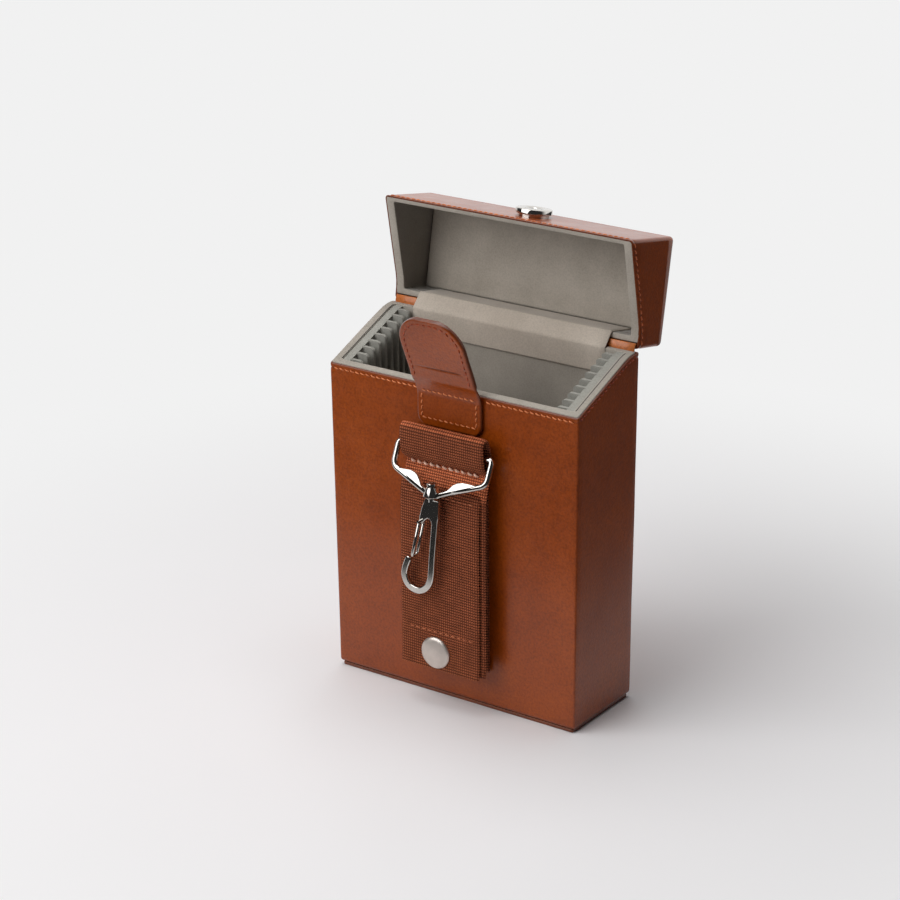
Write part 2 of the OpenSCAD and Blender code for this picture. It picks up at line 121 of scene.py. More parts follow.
def on_wall(x, y, z):
    return (*spread(x, y, case_sizes(z)), z)


def opened(p):
    """A point of the shut lid, where it is with the lid open."""
    return OPEN @ (Vector(p) - HINGE) + HINGE


def opened_yz(y, z):
    p = opened((0, y, z))
    return (p.y, p.z)


def smooth_line(keys, n):
    """Points on a smooth line through keys, n to each stretch."""
    keys = [Vector(k) for k in keys]
    out = []
    last = len(keys) - 1
    for i in range(last):
        a, b, c, d = keys[max(i - 1, 0)], keys[i], keys[i + 1], keys[min(i + 2, last)]
        for j in range(n):
            t = j / n
            out.append(b + (c - a) * t / 2 + (2 * a - 5 * b + 4 * c - d) * t ** 2 / 2
                       + (3 * b - a - 3 * c + d) * t ** 3 / 2)
    return out + [keys[-1]]


def distances(line):
    """Distance along a line at each of its points."""
    run = [0.0]
    for a, b in zip(line, line[1:]):
        run.append(run[-1] + (b - a).length)
    return run


def heading(line, i):
    """Direction of a line at its point i."""
    return (line[min(i + 1, len(line) - 1)] - line[max(i - 1, 0)]).normalized()


def spaced(line, step):
    """The same line with points a step apart, and the distance along it at each."""
    run = distances(line)
    at = even_steps(0.0, run[-1], max(2, round(run[-1] / step)))
    out, k = [], 0
    for s in at:
        while k < len(line) - 2 and run[k + 1] < s:
            k += 1
        t = (s - run[k]) / max(run[k + 1] - run[k], 1e-9)
        out.append(line[k].lerp(line[k + 1], min(t, 1.0)))
    return out, at


# Materials
def material(name):
    m = bpy.data.materials.new(name)
    m.use_nodes = True
    return m, m.node_tree, m.node_tree.nodes["Principled BSDF"]


def add(tree, kind, **values):
    n = tree.nodes.new(kind)
    for key, value in values.items():
        if key in n.inputs:
            n.inputs[key].default_value = value
        else:
            setattr(n, key, value)
    return n


def feed(tree, sockets, values):
    """Links the values that are sockets, and sets the others."""
    for socket, value in zip(sockets, values):
        if hasattr(value, "links"):
            tree.links.new(value, socket)
        else:
            socket.default_value = value


def dress(tree, shader, **values):
    """Feeds a shader's own sockets, by their names."""
    feed(tree, [shader.inputs[key.replace("_", " ")] for key in values], values.values())


def linear(r, g, b):
    """A colour written as screen values from 0 to 255."""
    def one(v):
        v /= 255
        return v / 12.92 if v <= 0.04045 else ((v + 0.055) / 1.055) ** 2.4
    return (one(r), one(g), one(b), 1.0)


def dimmed(colour, share):
    return linear(*[v * share for v in colour])


def grey(v):
    return (v, v, v, 1.0)


def ramp(tree, source, *stops):
    n = add(tree, "ShaderNodeValToRGB")
    while len(n.color_ramp.elements) < len(stops):
        n.color_ramp.elements.new(0.5)
    for element, (at, colour) in zip(n.color_ramp.elements, stops):
        element.position = at
        element.color = colour
    tree.links.new(source, n.inputs["Fac"])
    return n.outputs["Color"]


def mixed(tree, fac, a, b, blend="MIX"):
    n = add(tree, "ShaderNodeMix", data_type="RGBA", blend_type=blend)
    feed(tree, (n.inputs[0], n.inputs[6], n.inputs[7]), (fac, a, b))
    return n.outputs[2]


def math_of(tree, operation, a, b=0.0):
    n = add(tree, "ShaderNodeMath", operation=operation)
    feed(tree, n.inputs, (a, b))
    return n.outputs[0]


def place_of(tree):
    return add(tree, "ShaderNodeTexCoord").outputs["Object"]


def axes_of(tree, where):
    n = add(tree, "ShaderNodeSeparateXYZ")
    tree.links.new(where, n.inputs[0])
    return n.outputs


def share_of(tree, name):
    """A share from 0 to 1 that a mesh keeps at its points."""
    return add(tree, "ShaderNodeAttribute", attribute_name=name).outputs["Fac"]


def noise_of(tree, where, scale, detail=3.0, rough=0.55):
    n = add(tree, "ShaderNodeTexNoise", Scale=scale, Detail=detail, Roughness=rough)
    tree.links.new(where, n.inputs["Vector"])
    return n.outputs["Fac"]


def bumped(tree, bsdf, height, strength, distance, before=None):
    n = add(tree, "ShaderNodeBump", Strength=strength, Distance=distance)
    tree.links.new(height, n.inputs["Height"])
    if before is not None:
        tree.links.new(before, n.inputs["Normal"])
    tree.links.new(n.outputs["Normal"], bsdf.inputs["Normal"])
    return n.outputs["Normal"]


def leather(name, base, dark, light, shade_and_edge_colour):
    """Coated leather: fine mottled grain with dark pores, faint clouds, and darker edges, folds and foot,
    partly painted shade.
    """
    m, tree, bsdf = material(name)
    where = place_of(tree)
    cloud = noise_of(tree, where, 30.0, 5.0, 0.65)
    tone = ramp(tree, cloud, (0.32, linear(*dark)), (0.5, linear(*base)), (0.72, linear(*light)))
    pores = noise_of(tree, where, 880.0, 3.0, 0.7)
    pitted = ramp(tree, pores, (0.37, grey(0.74)), (0.5, grey(0.97)), (0.63, grey(1.14)))
    patches = noise_of(tree, where, 260.0, 3.0, 0.6)
    faint = ramp(tree, patches, (0.4, grey(0.97)), (0.6, grey(1.03)))
    colour = mixed(tree, 0.8, tone, pitted, "MULTIPLY")
    colour = mixed(tree, 1.0, colour, faint, "MULTIPLY")
    # Darker share from the mesh: painted shade in folds and under the foot, and darker edges that are partly
    # painted shade
    colour = mixed(tree, share_of(tree, "shade_and_edge_dark"), colour, linear(*shade_and_edge_colour))
    polish = noise_of(tree, where, 130.0, 4.0)
    gloss = ramp(tree, polish, (0.3, grey(0.29)), (0.7, grey(0.38)))
    dress(tree, bsdf, Base_Color=colour, Roughness=gloss, Specular_IOR_Level=0.3, Coat_Weight=0.5,
          Coat_Roughness=0.2, Coat_IOR=1.4)
    pebble = add(tree, "ShaderNodeTexVoronoi", feature="SMOOTH_F1", Scale=1050.0, Smoothness=0.5)
    tree.links.new(where, pebble.inputs["Vector"])
    first = bumped(tree, bsdf, pebble.outputs["Distance"], 0.3, 0.00018)
    bumped(tree, bsdf, patches, 0.15, 0.00012, first)
    return m


def felt(name, base, dark, light, grain=0.25, sheen=0.25):
    """Short-napped lining cloth: cloudy grey with dark flecks, and painted shade where the mesh's darker share
    asks for it.
    """
    m, tree, bsdf = material(name)
    where = place_of(tree)
    cloud = noise_of(tree, where, 55.0, 4.0, 0.6)
    tone = ramp(tree, cloud, (0.3, linear(*dark)), (0.55, linear(*base)), (0.8, linear(*light)))
    nap = noise_of(tree, where, 1500.0, 2.0, 0.6)
    shade = ramp(tree, nap, (0.34, grey(0.8)), (0.6, grey(1.0)))
    colour = mixed(tree, 0.7, tone, shade, "MULTIPLY")
    # Painted shade from the mesh's darker share
    colour = mixed(tree, share_of(tree, "shade_and_edge_dark"), colour, dimmed(dark, 0.4))
    dress(tree, bsdf, Base_Color=colour, Roughness=0.92, Specular_IOR_Level=0.2, Sheen_Weight=sheen,
          Sheen_Roughness=0.5)
    bumped(tree, bsdf, nap, grain, 0.0002)
    return m


def webbing(name, base, dark, light):
    """Ribbed webbing: short yarns across each rib, from the strap's own UVs."""
    m, tree, bsdf = material(name)
    tex = add(tree, "ShaderNodeTexCoord")
    flat = axes_of(tree, tex.outputs["UV"])
    ribs = math_of(tree, "DIVIDE", flat[1], RIB * MM)
    yarns = math_of(tree, "DIVIDE", flat[0], YARN * MM)
    slant = math_of(tree, "MULTIPLY", math_of(tree, "FRACT", ribs), 0.2)
    turn = math_of(tree, "MULTIPLY", math_of(tree, "ADD", yarns, slant), math.pi)
    yarn = math_of(tree, "POWER", math_of(tree, "ABSOLUTE", math_of(tree, "SINE", turn)), 0.7)
    weave = ramp(tree, yarn, (0.2, linear(*dark)), (0.62, linear(*base)), (0.98, linear(*light)))
    cloud = noise_of(tree, tex.outputs["Object"], 160.0, 4.0, 0.65)
    shade = ramp(tree, cloud, (0.3, grey(0.74)), (0.7, grey(1.15)))
    colour = mixed(tree, 0.9, weave, shade, "MULTIPLY")
    # Painted shade in the valleys between ribs
    colour = mixed(tree, share_of(tree, "shade_and_edge_dark"), colour, dimmed(dark, 0.55))
    # Painted highlight: a lighter copy of the webbing's colour
    painted_highlight = mixed(tree, 1.0, colour, grey(2.4), "MULTIPLY")
    colour = mixed(tree, share_of(tree, "highlight_share"), colour, painted_highlight)
    dress(tree, bsdf, Base_Color=colour, Roughness=0.7, Specular_IOR_Level=0.12)
    fuzz = noise_of(tree, tex.outputs["Object"], 2600.0, 2.0)
    first = bumped(tree, bsdf, yarn, 0.8, 0.0003)
    bumped(tree, bsdf, fuzz, 0.2, 0.0001, first)
    return m


def metal(name, base, rough):
    """Plated metal with faint rubbing marks."""
    m, tree, bsdf = material(name)
    where = place_of(tree)
    spots = noise_of(tree, where, 240.0, 3.0, 0.6)
    tone = ramp(tree, spots, (0.3, dimmed(base, 0.95)), (0.6, linear(*base)))
    rub = noise_of(tree, where, 700.0, 3.0)
    gloss = ramp(tree, rub, (0.3, grey(rough)), (0.75, grey(rough + 0.04)))
    dress(tree, bsdf, Base_Color=tone, Metallic=1.0, Roughness=gloss)
    bumped(tree, bsdf, rub, 0.03, 0.00005)
    return m


def thread(name, base, dark):
    """Sewing thread, unevenly twisted."""
    m, tree, bsdf = material(name)
    twist = noise_of(tree, place_of(tree), 900.0, 2.0)
    tone = ramp(tree, twist, (0.35, linear(*dark)), (0.65, linear(*base)))
    dress(tree, bsdf, Base_Color=tone, Roughness=0.6)
    bumped(tree, bsdf, twist, 0.4, 0.0002)
    return m


brown = leather("case_leather", (146, 63, 6), (136, 57, 4), (156, 70, 9), (84, 34, 7))
# Painted shade: a darker copy of the leather for the base plate, which sits in shadow
base_shaded_brown = leather("base_leather_shaded", (118, 58, 28), (108, 52, 24), (128, 66, 34), (84, 38, 16))
# Painted light: a lighter copy of the leather for the hinge strip, which faces up into the light
hinge_lit_brown = leather("hinge_leather", (206, 122, 66), (190, 106, 52), (220, 138, 82), (140, 70, 34))
lining_grey = felt("lining_felt", (174, 166, 155), (164, 156, 145), (184, 176, 165))
# Painted light: a lighter copy of the lining felt, so the lid's ceiling looks lit
panel_lit_grey = felt("panel_felt_lit", (184, 175, 163), (174, 165, 153), (194, 185, 173))
# Painted light: a lighter copy of the lining felt for the hinge cloth, which faces up into the light
cloth_lit_grey = felt("hinge_cloth_felt_lit", (198, 186, 172), (188, 176, 162), (208, 196, 182))
# Painted shadow: dark felt for strips that stand in for the shade in the seams
seam_shadow_felt = felt("seam_painted_shadow", (74, 72, 68), (62, 60, 56), (86, 84, 80))
comb_grey = felt("comb_flock", (166, 164, 156), (156, 154, 146), (174, 172, 164), 0.15, 0.1)
web_brown = webbing("strap_webbing", (142, 72, 45), (118, 57, 34), (174, 100, 66))
nickel = metal("plated_nickel", (214, 210, 204), 0.08)
satin_nickel = metal("satin_nickel", (226, 216, 208), 0.42)
rim_thread = thread("rim_thread", (236, 142, 86), (190, 100, 50))
strap_thread = thread("strap_thread", (206, 120, 76), (150, 76, 44))
pale_thread = thread("pale_thread", (252, 212, 190), (226, 168, 140))
tongue_and_shaded_side_thread = thread("tongue_and_shaded_side_thread", (182, 76, 38), (122, 44, 20))
# Painted shade: a darker thread for the lid's side rows
lid_side_shaded_thread = thread("lid_side_shaded_thread", (210, 112, 66), (156, 76, 40))


# Mesh helpers
def build(name, verts, faces, mat, shade_and_edge_dark=None, uvs=None, crisp=None):
    """A smooth mesh in millimetres, with the darker share (painted shade and darker edges) and the flat place
    of its points.
    """
    mesh = bpy.data.meshes.new(name)
    mesh.from_pydata([Vector(v) * MM for v in verts], [], faces)
    bm = bmesh.new()
    bm.from_mesh(mesh)
    bmesh.ops.recalc_face_normals(bm, faces=bm.faces)
    bm.to_mesh(mesh)
    bm.free()
    if shade_and_edge_dark is not None:
        layer = mesh.attributes.new("shade_and_edge_dark", "FLOAT", "POINT")
        layer.data.foreach_set("value", shade_and_edge_dark)
    if uvs is not None:
        layer = mesh.uv_layers.new(name="flat")
        for loop in mesh.loops:
            u, v = uvs[loop.vertex_index]
            layer.data[loop.index].uv = (u * MM, v * MM)
    mesh.polygons.foreach_set("use_smooth", [True] * len(mesh.polygons))
    if crisp:
        mesh.set_sharp_from_angle(angle=math.radians(crisp))
    mesh.materials.append(mat)
    obj = bpy.data.objects.new(name, mesh)
    scene.collection.objects.link(obj)
    return obj


def place(obj, body, slot, *nodes):
    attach(obj, body)
    if nodes:
        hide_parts(*nodes)
    return obj


def quads(rows, cols):
    """Faces of a grid of points, row after row, closed round each row."""
    out = []
    for r in range(rows - 1):
        for c in range(cols):
            d = (c + 1) % cols
            out.append((r * cols + c, r * cols + d, (r + 1) * cols + d, (r + 1) * cols + c))
    return out


def capped(rows, cols):
    """The same faces, with one more over each end."""
    return quads(rows, cols) + [tuple(range(cols)), tuple(range((rows - 1) * cols, rows * cols))]


def stations(half_x, half_y, radius, step, turn=5):
    """Points and outward directions round a rounded rectangle."""
    ax, ay = half_x - radius, half_y - radius
    legs = [((-ax, -half_y), (ax, -half_y), -90, (ax, -ay)), ((half_x, -ay), (half_x, ay), 0, (ax, ay)),
            ((ax, half_y), (-ax, half_y), 90, (-ax, ay)), ((-half_x, ay), (-half_x, -ay), 180, (-ax, -ay))]
    out = []
    for a, b, angle, centre in legs:
        count = max(1, round(math.dist(a, b) / step))
        across, along = even_steps(a[0], b[0], count), even_steps(a[1], b[1], count)
        out += [(x, y, *unit(angle)) for x, y in zip(across, along)]
        for i in range(1, turn):
            c, s = unit(angle + 90 * i / turn)
            out.append((centre[0] + radius * c, centre[1] + radius * s, c, s))
    return out


def ripple(p):
    """Slow unevenness of a leather panel."""
    return 0.10 * noise.noise(Vector(p) / 31) + 0.04 * noise.noise(Vector(p) / 9)


def sweep(name, path, radius, mat, sides):
    """A round wire along a path."""
    verts = []
    normal = heading(path, 0).orthogonal().normalized()
    for i, p in enumerate(path):
        t = heading(path, i)
        normal = (normal - t * normal.dot(t)).normalized()
        other = t.cross(normal)
        for k in range(sides):
            c, s = unit(360 * k / sides)
            verts.append(p + (normal * c + other * s) * radius)
    return build(name, verts, capped(len(path), sides), mat)


def filleted(points, radii):
    """A polyline with round corners."""
    steps = 7
    out = [points[0]]
    for a, p, b, r in zip(points, points[1:], points[2:], radii):
        u, v = (a - p).normalized(), (b - p).normalized()
        half = u.angle(v) / 2
        reach = r / math.tan(half)
        centre = p + (u + v).normalized() * (r / math.sin(half))
        s, e = p + u * reach - centre, p + v * reach - centre
        whole = s.angle(e)
        for i in range(steps + 1):
            t = i / steps
            out.append(centre + (s * math.sin((1 - t) * whole) + e * math.sin(t * whole)) / math.sin(whole))
    return out + [points[-1]]


def lathe(name, profile, place_at, mat, sides=48):
    """A turned piece: profile of (radius, height), closed at both ends."""
    verts = []
    rings = [p for p in profile if p[0] > 0]
    for r, h in rings:
        for k in range(sides):
            c, s = unit(360 * k / sides)
            verts.append(place_at @ Vector((r * c, r * s, h)))
    faces = quads(len(rings), sides)
    for end, ring in ((profile[0], 0), (profile[-1], len(rings) - 1)):
        loop = [ring * sides + k for k in range(sides)]
        if end[0] > 0:
            faces.append(tuple(loop))
        else:
            verts.append(place_at @ Vector((0, 0, end[1])))
            tip = len(verts) - 1
            faces += [(loop[k], loop[(k + 1) % sides], tip) for k in range(sides)]
    return build(name, verts, faces, mat, crisp=35)


def facing(origin, direction):
    """A frame with its Z along direction."""
    turn = Vector((0, 0, 1)).rotation_difference(Vector(direction)).to_matrix().to_4x4()
    return Matrix.Translation(Vector(origin)) @ turn


def plate(name, outline, thick, to_space, mat):
    """A flat piece cut to an outline of (a, b) points, with rounded edges on both faces."""
    bm = bmesh.new()
    face = bm.faces.new([bm.verts.new((a, b, -thick / 2)) for a, b in outline])
    top = bmesh.ops.extrude_face_region(bm, geom=[face])
    moved = [g for g in top["geom"] if isinstance(g, bmesh.types.BMVert)]
    bmesh.ops.translate(bm, verts=moved, vec=(0, 0, thick))
    bmesh.ops.recalc_face_normals(bm, faces=bm.faces)
    borders = [e for e in bm.edges
               if any(abs(f.normal.z) > 0.9 for f in e.link_faces)
               and any(abs(f.normal.z) < 0.1 for f in e.link_faces)]
    bmesh.ops.bevel(bm, geom=borders, offset=0.4, segments=3, profile=0.5, affect="EDGES", clamp_overlap=True)
    bm.verts.index_update()
    verts = [to_space(v.co) for v in bm.verts]
    faces = [tuple(v.index for v in f.verts) for f in bm.faces]
    bm.free()
    piece = build(name, verts, faces, mat, crisp=40)
    for face in piece.data.polygons:
        face.use_smooth = len(face.vertices) < 5
    return piece


def stitches(name, runs, mat, pitch=2.6, length=2.3, radius=0.34, slant=-15.0):
    """Sewn rows: each run is a line of (point, outward direction) pairs."""
    verts, faces = [], []
    # Place along a stitch, thickness and lift, in shares of its length and radius
    shape = [(-0.5, 0.35, -0.9), (-0.36, 0.85, 0.1), (0.0, 1.0, 0.5), (0.36, 0.85, 0.1), (0.5, 0.35, -0.9)]
    sides = 6
    for run in runs:
        line = [p for p, _ in run]
        at = distances(line)
        count = max(1, round(at[-1] / pitch))
        for i in range(count):
            s = at[-1] * (i + 0.5) / count
            k = max(j for j in range(len(at) - 1) if at[j] <= s)
            t = (s - at[k]) / max(at[k + 1] - at[k], 1e-9)
            p = line[k].lerp(line[k + 1], t)
            n = run[k][1].lerp(run[k + 1][1], t).normalized()
            along = (line[k + 1] - line[k]).normalized()
            along = Matrix.Rotation(math.radians(slant + 3 * noise.noise(p / 3)), 3, n) @ along
            across = n.cross(along)
            first = len(verts)
            for u, size, lift in shape:
                for j in range(sides):
                    c, d = unit(360 * j / sides)
                    verts.append(p + along * (u * length) + n * (lift * radius)
                                 + (across * c + n * d * 0.8) * (radius * size))
            faces += [tuple(first + q for q in f) for f in capped(len(shape), sides)]
    return build(name, verts, faces, mat)


def straight(a, b, n):
    return [(Vector(a), Vector(n)), (Vector(b), Vector(n))]


# Leather walls of the case
FOOT_Z, CASE_CORNER, RING_STEP = 1.75, 0.9, 3.0


def shell(ring, rows):
    """Points of each row round a ring, and the faces between the rows."""
    return [row(*s) for row in rows for s in ring], quads(len(rows), len(ring))


def inward(x, y, inset):
    """A point of a ring, drawn in towards the middle by the same amount on every side."""
    return x * (1 - inset / HALF_W), y * (1 - inset / HALF_D)


def wall_row(inset, share, extra):
    def row(x, y, nx, ny):
        px, py = inward(x, y, inset)
        z = FOOT_Z + share * (rim(py) + EDGE - FOOT_Z) + extra
        out = ripple((px, py, z))
        return on_wall(px + nx * out, py + ny * out, z)
    return row


def shade_shares(ring, rows):
    """Darker share of each point, painted shade and darker edges, from its row's last value."""
    return [row[-1] for row in rows for _ in ring]


case_ring = stations(HALF_W, HALF_D, CASE_CORNER, RING_STEP)
# Rows of inset, share of the wall's height, further height and darker share: foot, wall, groove and edge. The
# darker share is painted shade under the foot and in the groove, and at the rim a darker edge that is partly
# painted shade
case_rows = [(1.25, 0, 0, 0.7), (0.8, 0, 0.1, 0.6), (0.38, 0, 0.36, 0.4), (0.1, 0, 0.8, 0.2),
             (0, 0, 1.4, 0), (0, 0, 3, 0)]
case_rows += [(0, 0.045 + 0.03 * i, 0, 0) for i in range(30)]
case_rows += [(0, 1, -5.2, 0), (0, 1, -3.2, 0), (0.05, 1, -2.5, 0), (0.2, 1, -1.9, 0.25),
              (0.05, 1, -1.3, 0), (0, 1, -0.8, 0), (0.03, 1, -0.35, 0.3), (0.14, 1, -0.08, 0.6),
              (0.35, 1, 0, 0.7), (0.9, 1, 0, 0.7), (1.1, 1, -0.15, 0.5), (1.12, 1, -4, 0)]
verts, faces = shell(case_ring, [wall_row(*r[:3]) for r in case_rows])
case_cover = build("case_cover", verts, faces, brown, shade_shares(case_ring, case_rows))
place(case_cover, "case", "leather", "leather_cover")


# Base plate, covered in a darker copy of the leather as painted shade, with a shadow gap under the walls: rows
# of inset and height
BASE_IN = 1.2
base_ring = stations(HALF_W - BASE_IN, HALF_D - BASE_IN, BASE_IN, RING_STEP)
base_rows = [(0.5, 0), (0.1, 0.12), (0, 0.4), (0, 1.15), (0.12, 1.4), (0.5, 1.5), (0.9, 1.6), (0.9, 2.4)]
verts = [(x - nx * d, y - ny * d, z) for d, z in base_rows for x, y, nx, ny in base_ring]
faces = capped(len(base_rows), len(base_ring))
place(build("base_cover", verts, faces, base_shaded_brown, [0.0] * len(verts)), "case", "leather", "base_plate")


# Leather of the lid, described shut and then opened
LID_CORNER, LID_ROUND = 1.7, 3.0


def lid_row(inset, share, extra, crown):
    def row(x, y, nx, ny):
        px, py = inward(x, y, inset)
        low = lid_rim(spread(px, py, LID)[1])
        z = low + share * (TOP_Z - LID_ROUND - low) + extra
        out = ripple((px, py, z))
        px, py = spread(px + nx * out * (1 - crown), py + ny * out * (1 - crown), LID)
        return opened((px, py, z + out * crown))
    return row


lid_ring = stations(HALF_W, HALF_D, LID_CORNER, RING_STEP)
# Rows as on the case, with the share by which each lies flat on the top: edge, groove, wall, round and top. The
# darker share is painted shade in the groove, and at the edge a darker edge that is partly painted shade
lid_rows = [(1.12, 0, 4, 0, 0), (1.1, 0, 0.15, 0, 0.5), (0.9, 0, 0, 0, 0.7), (0.35, 0, 0, 0, 0.7),
            (0.14, 0, 0.08, 0, 0.6), (0.03, 0, 0.35, 0, 0.3), (0, 0, 0.8, 0, 0), (0.05, 0, 1.3, 0, 0),
            (0.2, 0, 1.9, 0, 0.25), (0.05, 0, 2.5, 0, 0), (0, 0, 3.2, 0, 0)]
lid_rows += [(0, 0.3 + 0.1 * i, 0, 0, 0) for i in range(8)]
for bend in range(0, 91, 15):
    c, s = unit(bend)
    lid_rows.append((LID_ROUND * (1 - c), 1, LID_ROUND * s, s, 0.3 * s * c))
lid_rows += [(d, 1, LID_ROUND, 1, 0) for d in (5, 8, 12, 16, 20)]
verts, faces = shell(lid_ring, [lid_row(*r[:4]) for r in lid_rows])
faces.append(tuple(range(len(verts) - len(lid_ring), len(verts))))
lid_leather = build("lid_leather", verts, faces, brown, shade_shares(lid_ring, lid_rows))
place(lid_leather, "lid", "leather", "lid_cover")


# Grey lining wrapped over the boards, with a flat band that lies on the leather's edge
HINGE_SIDE, BAND_IN, BAND_CORNER = 20.95, 0.6, 0.9


def band(name, sizes, in_x, rows, to_space, shade):
    """Rows of (base, further insets at the sides, front and back, height at a depth); shade is the share of
    painted shade on the inner walls.
    """
    half_x, front = sizes[0] - BAND_IN, sizes[1] - BAND_IN
    half_y = (front + HINGE_SIDE) / 2
    bases = {"outer": (0, 0, 0), "board": (1.9, 0.9, 0),
             "inner": (half_x - in_x, front - FRONT_IN, HINGE_SIDE - BACK_IN)}
    ring = stations(half_x, half_y, BAND_CORNER, 2.5, 4)
    verts, shade_and_edge_dark = [], []
    for base, more, height in rows:
        side, ahead, behind = [a + b for a, b in zip(bases[base], more)]
        for x, y, _, _ in ring:
            y = lerp(ahead - front, HINGE_SIDE - behind, (y + half_y) / (2 * half_y))
            verts.append(to_space((x * (1 - side / half_x), y, height(y))))
            # Painted shade on the inner walls, by the given share
            shade_and_edge_dark.append(shade if base == "inner" and more[0] == 0 else 0.0)
    return build(name, verts, quads(len(rows), len(ring)), lining_grey, shade_and_edge_dark, crisp=55)


def even(inset):
    return (inset, inset, inset)


def over(extra):
    return lambda y: rim(y) + extra


def between(t):
    return lambda y: lerp(FLOOR_TOP, rim(y), t)


def lid_between(t):
    return lambda y: lerp(rim(y) + LID_BAND, CEILING, t)


def cap_rows(low, high):
    """The flat band itself, from its edge on the leather to its inner edge."""
    step = 1 if high > low else -1
    return [("outer", even(0.12), over(low)), ("outer", even(0), over(low + 0.18 * step)),
            ("outer", even(0), over(high - 0.25 * step)), ("outer", even(0.09), over(high - 0.07 * step)),
            ("outer", even(0.28), over(high)), ("inner", even(-0.3), over(high)),
            ("inner", even(-0.09), over(high - 0.07 * step)), ("inner", even(0), over(high - 0.3 * step))]


def plain_rows(base, *heights):
    return [(base, even(0), height) for height in heights]


band_rows = plain_rows("board", between(0), over(-2), over(0.6)) + cap_rows(0.6, BAND)
band_rows += plain_rows("inner", over(-3), *[between(t) for t in (0.85, 0.65, 0.45, 0.25, 0.1, 0)])
place(band("wall_lining", HIGH, CASE_IN_X, band_rows, Vector, 0.03), "case", "lining",
      "front_board", "back_board", "left_board", "right_board")

# Painted shadow: dark strips laid in the gaps between the wrapped edge and the combs' ledges
SEAM_Z = BAND + 0.03
seam_section = ((-0.2, 0), (0.2, 0), (0.12, -0.3), (-0.12, -0.3))
seam_y = even_steps(-18.6, 17.6, 30)
for name, x in (("seam_shadow_left", -57.15), ("seam_shadow_right", 57.65)):
    verts = [(x + dx, y, rim(y) + SEAM_Z + dz) for y in seam_y for dx, dz in seam_section]
    place(build(name, verts, capped(len(seam_y), len(seam_section)), seam_shadow_felt), "case", "lining")

# The lid's lining has a shallow groove across its back
groove = (0, 0, -1.3)
lid_band_rows = plain_rows("board", lid_between(1), over(4), over(1.9)) + cap_rows(1.9, LID_BAND)
lid_band_rows += plain_rows("inner", over(3.0), over(6.2))
lid_band_rows += [("inner", groove, over(6.3)), ("inner", groove, over(7.4))]
lid_band_rows += plain_rows("inner", over(7.5), over(8.2), *[lid_between(t) for t in (0.6, 0.75, 0.9, 1)])
# The lid's inner walls get 0.4 of painted shade, the case's 0.03
place(band("lid_lining", LID, LID_IN_X, lid_band_rows, opened, 0.4), "lid", "lining",
      "lid_front_board", "lid_back_board", "lid_left_board", "lid_right_board")


# Padded panels on the floor and in the lid
def pad(name, half_x, half_y, low, high, crown, to_space, mat):
    """A firm panel with a rolled edge and a low crown."""
    ring = stations(half_x, half_y, 2.6, RING_STEP, 6)
    steps = [(6, low), (1.0, low), (0.25, low + 0.2)]
    steps += [(d, lerp(low, high, t)) for d, t in ((0, 0.45), (0.12, 0.75), (0.5, 0.95), (1.1, 1))]
    steps += [(d, high + crown * ease(d / 14)) for d in (2.5, 5, 8, 11, 14, 16)]
    verts = []
    for inset, z in steps:
        for x, y, _, _ in ring:
            p = Vector((x * (1 - inset / half_x), y * (1 - inset / half_y), z))
            verts.append(to_space((p.x, p.y, p.z + 0.06 * noise.noise(p / 7))))
    obj = build(name, verts, capped(len(steps), len(ring)), mat)
    return obj


floor_panel = pad("floor_panel", half_x=47.4, half_y=18.7, low=3.55, high=4.7, crown=0.5,
                  to_space=Vector, mat=lining_grey)
place(floor_panel, "case", "lining", "floor_pad")


def lid_ceiling(p):
    """Pads are drawn face up, and this one hangs under the lid's top board."""
    return opened((p[0], -p[1], CEILING + 0.05 - p[2]))


lid_panel = pad("lid_panel", half_x=55.6, half_y=18.1, low=0.0, high=1.3, crown=0.4,
                to_space=lid_ceiling, mat=panel_lit_grey)
place(lid_panel, "lid", "lining", "lid_pad")


# Sheets and straps: a strip of cloth, leather or webbing along a path in the YZ plane
EDGE_BULGE, EDGE_THIN = 0.3, 0.72


def strip(name, path, half_w, thick, mat, columns, step, rib=None, scallop=0.0, middle=0.0):
    """Each rib gives its height and its share of painted valley shade at a distance along the strip."""
    line, at = spaced([Vector((0, p[0], p[1])) for p in path], step)
    verts, uvs, shade_and_edge_dark = [], [], []
    across = even_steps(-1, 1, columns)
    loop = [(u, 1) for u in across] + [(1.0, 0)] + [(u, -1) for u in reversed(across)] + [(-1.0, 0)]
    for i, (p, s) in enumerate(zip(line, at)):
        t = heading(line, i)
        n = Vector((0, t.z, -t.y))
        swell, valley_shade = rib(s) if rib else (0.0, 0.0)
        for u, side in loop:
            edge = abs(u) > 0.999
            x = u * half_w + (math.copysign(EDGE_BULGE * thick, u) if side == 0 else 0.0)
            if edge:
                x += math.copysign(scallop * swell, u)
            depth = side * thick / 2 * (EDGE_THIN if edge else 1.0) + side * swell * (0.5 if edge else 1.0)
            q = p + n * depth
            verts.append((middle + x, q.y, q.z))
            uvs.append((x, s))
            shade_and_edge_dark.append(valley_shade)
    return build(name, verts, capped(len(line), len(loop)), mat, shade_and_edge_dark, uvs)


# Hinge: fabric from the back wall into the lid, and the leather strip behind it
FABRIC_Y = 18.45
rise, crest = Vector((18.8, 152.9)), Vector(opened_yz(18.5, 152.1))
fabric_keys = [(FABRIC_Y, 141.7), (FABRIC_Y, 147.5), (FABRIC_Y, 152.0), rise, (rise + crest) / 2, crest,
               opened_yz(FABRIC_Y, 153.2), opened_yz(FABRIC_Y, 160), opened_yz(18.4, 166.6)]
fabric_path = smooth_line(fabric_keys, 8)
fabric = strip("hinge_cloth", fabric_path, half_w=47.4, thick=0.6, mat=cloth_lit_grey, columns=24, step=0.6)
fabric_length = distances(fabric_path)[-1]
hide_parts("hinge_fabric")
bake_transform(fabric)

